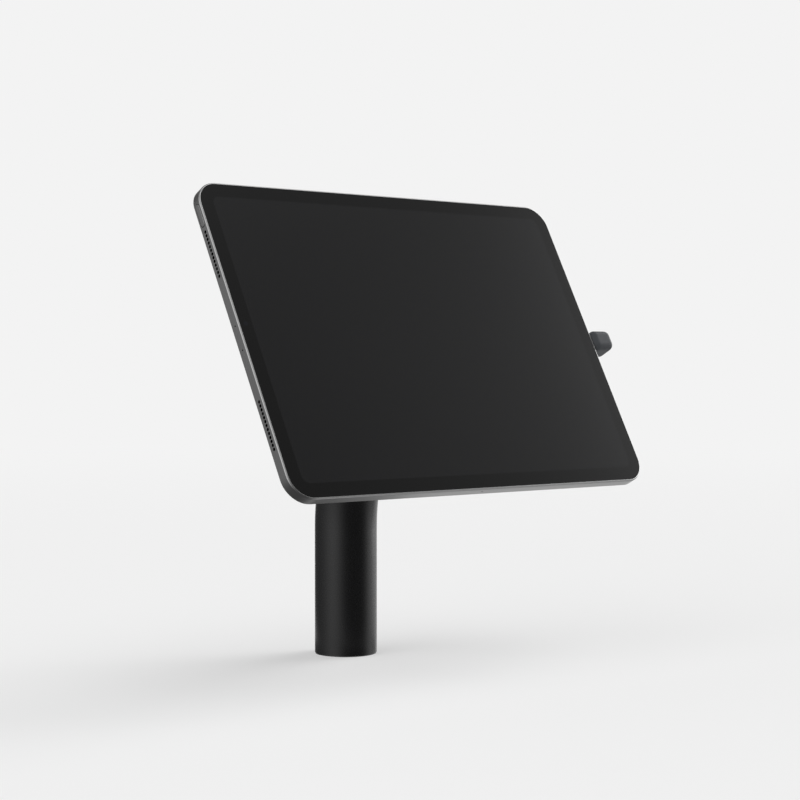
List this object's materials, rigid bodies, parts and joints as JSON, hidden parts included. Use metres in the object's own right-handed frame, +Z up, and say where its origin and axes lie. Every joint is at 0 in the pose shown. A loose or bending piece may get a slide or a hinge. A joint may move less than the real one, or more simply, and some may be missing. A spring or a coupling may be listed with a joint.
{
  "type": "tablet kiosk stand",
  "caption": "Counter-mounted round post, bent towards the user, carrying a slim tablet that leans back, with its charging lead led through the post and a plug at its edge.",
  "frame": {"origin": "centre of the foot's bolt circle, on the counter's surface, on the post's swivel axis", "axes": "+Z up along the straight part of the post, -Y towards the user and the way that the display faces, +X to the user's right"},
  "size_m": [0.2633, 0.1321, 0.2551],
  "materials": {
    "anodised_grey": "blasted and anodised grey",
    "battery_foil": "laminated foil pouch, dark",
    "bearing_plastic": "moulded acetal, black",
    "black_plastic": "moulded black",
    "board_laminate": "solder mask",
    "connector_steel": "drawn and plated steel",
    "cover_glass_black": "polished, black printed behind",
    "display_stack": "display layers, unlit",
    "foam_tape": "closed-cell foam tape, black",
    "lead_jacket": "extruded jacket, matte black",
    "lens_glass": "polished",
    "plug_plastic": "moulded, satin dark grey",
    "powder_coat_black": "matte black powder coat",
    "turned_aluminium": "turned, plain",
    "zinc_steel": "zinc plated"
  },
  "bodies": {
    "base": {"base_insert": "turned_aluminium", "glide_ring": "bearing_plastic", "base_stop_pin": "zinc_steel", "preload_washer": "zinc_steel", "retaining_collar": "turned_aluminium", "collar_screws": "zinc_steel", "power_coupler": "black_plastic", "coupler_shell": "connector_steel", "coupler_tongue": "black_plastic", "coupler_snap_ring": "zinc_steel", "base_lead": "lead_jacket"},
    "post": {"post_tube": "powder_coat_black", "lower_bush": "bearing_plastic", "upper_bush": "bearing_plastic", "head_socket": "turned_aluminium", "head_bush": "bearing_plastic", "friction_washer": "bearing_plastic", "head_stop_pin": "zinc_steel", "post_lead": "lead_jacket"},
    "tablet": {"hub": "powder_coat_black", "thrust_washer": "zinc_steel", "disc_spring": "zinc_steel", "lock_nut": "turned_aluminium", "bracket_plate": "powder_coat_black", "plate_screws": "zinc_steel", "adhesive_pad": "foam_tape", "lead_clips": "black_plastic", "plug_housing": "plug_plastic", "plug_shell": "connector_steel", "tablet_lead": "lead_jacket", "casing": "anodised_grey", "cover_glass": "cover_glass_black", "display_seal": "foam_tape", "display_panel": "display_stack", "battery_left": "battery_foil", "battery_right": "battery_foil", "logic_board": "board_laminate", "shield_can": "zinc_steel", "speaker_upper_left": "black_plastic", "speaker_lower_left": "black_plastic", "speaker_upper_right": "black_plastic", "speaker_lower_right": "black_plastic", "microphones": "black_plastic", "port_receptacle": "connector_steel", "front_camera": "black_plastic", "rear_camera": "black_plastic", "rear_camera_ring": "anodised_grey", "rear_camera_lens": "lens_glass", "flash_lamp": "lens_glass", "button_switches": "black_plastic"},
    "power_button": {"power_button": "anodised_grey"},
    "volume_up_button": {"volume_up_button": "anodised_grey"},
    "volume_down_button": {"volume_down_button": "anodised_grey"}
  },
  "joints": [
    {"name": "post_swivel", "type": "hinge", "parent": "base", "child": "post", "pos_m": [0, 0, 0], "axis": [0, 0, 1], "range_deg": [-165, 165]},
    {"name": "tablet_turn", "type": "hinge", "parent": "post", "child": "tablet", "pos_m": [0, -0.05907, 0.16941], "axis": [0, -0.8813, 0.4726], "range_deg": [-90, 90]},
    {"name": "power_press", "type": "slide", "parent": "tablet", "child": "power_button", "axis": [1, 0, 0], "range_m": [0, 0.00025], "stiffness_N_per_m": 3000, "springref_m": -0.0002},
    {"name": "volume_up_press", "type": "slide", "parent": "tablet", "child": "volume_up_button", "axis": [0, -0.4726, -0.8813], "range_m": [0, 0.00025], "stiffness_N_per_m": 3000, "springref_m": -0.0002},
    {"name": "volume_down_press", "type": "slide", "parent": "tablet", "child": "volume_down_button", "axis": [0, -0.4726, -0.8813], "range_m": [0, 0.00025], "stiffness_N_per_m": 3000, "springref_m": -0.0002}
  ]
}
